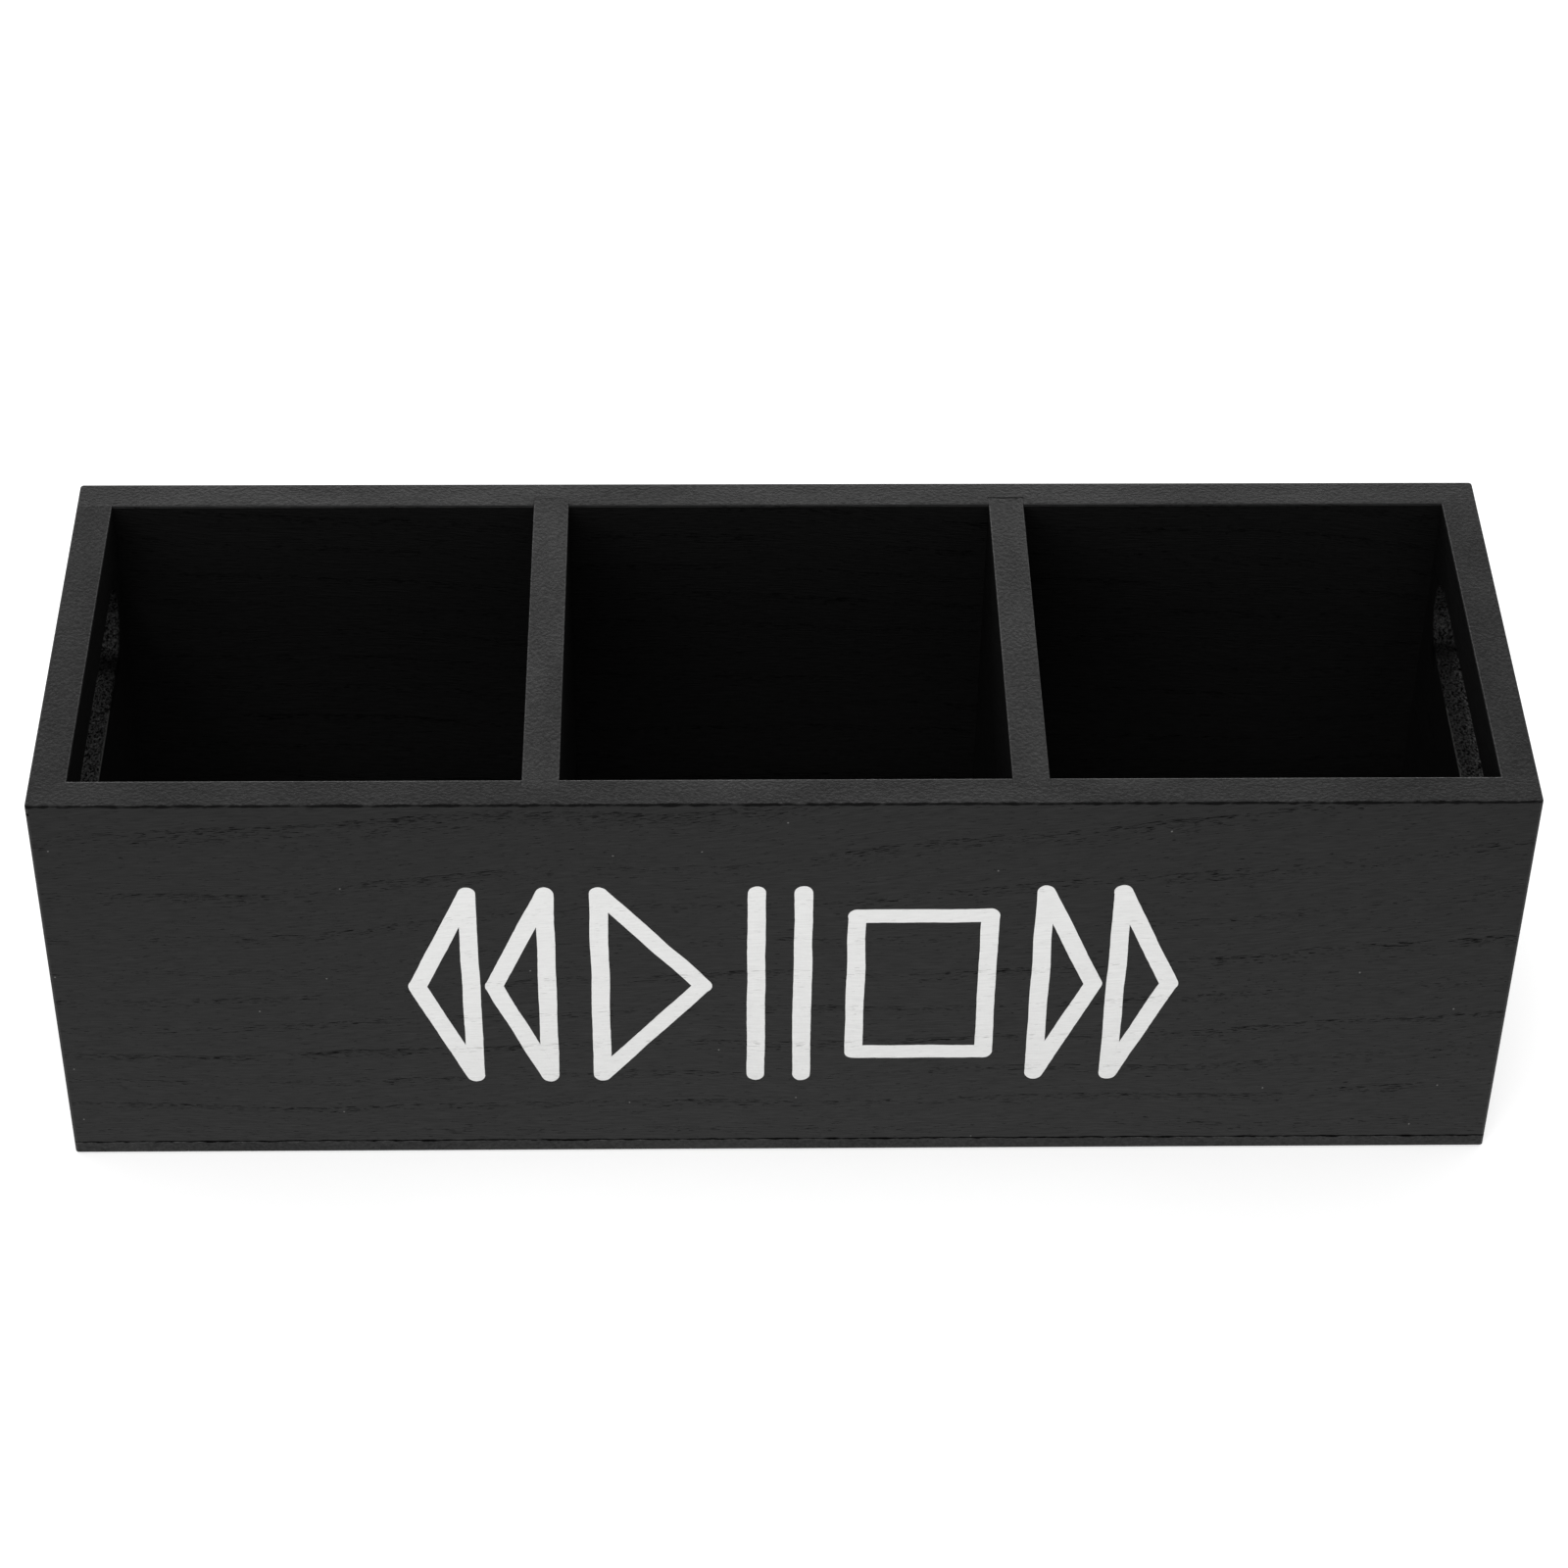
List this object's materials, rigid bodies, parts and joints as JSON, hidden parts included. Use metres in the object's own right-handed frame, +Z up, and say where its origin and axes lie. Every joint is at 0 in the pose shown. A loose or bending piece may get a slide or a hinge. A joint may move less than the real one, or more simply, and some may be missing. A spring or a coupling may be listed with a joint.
{
  "type": "remote control holder",
  "caption": "Long open-topped black wooden box with equal compartments side by side, flush dividers and a rounded hand slot through each end.",
  "frame": {"origin": "middle of the footprint, on the underside that the box stands on", "axes": "+X along the box's length, to the right seen from the front; +Y from front to back; +Z up"},
  "size_m": [0.3, 0.103, 0.0995],
  "materials": {
    "painted_wood": "thin matt black paint over open grain",
    "brad_wire": "bright drawn wire",
    "mark_paint": "white hand-brushed paint of the marks on the front"
  },
  "bodies": {
    "root": {"front_board": "painted_wood", "back_board": "painted_wood", "left_end_board": "painted_wood", "right_end_board": "painted_wood", "left_divider": "painted_wood", "right_divider": "painted_wood", "bottom_board": "painted_wood", "bottom_brads": "brad_wire", "corner_brads": "brad_wire"}
  },
  "joints": []
}
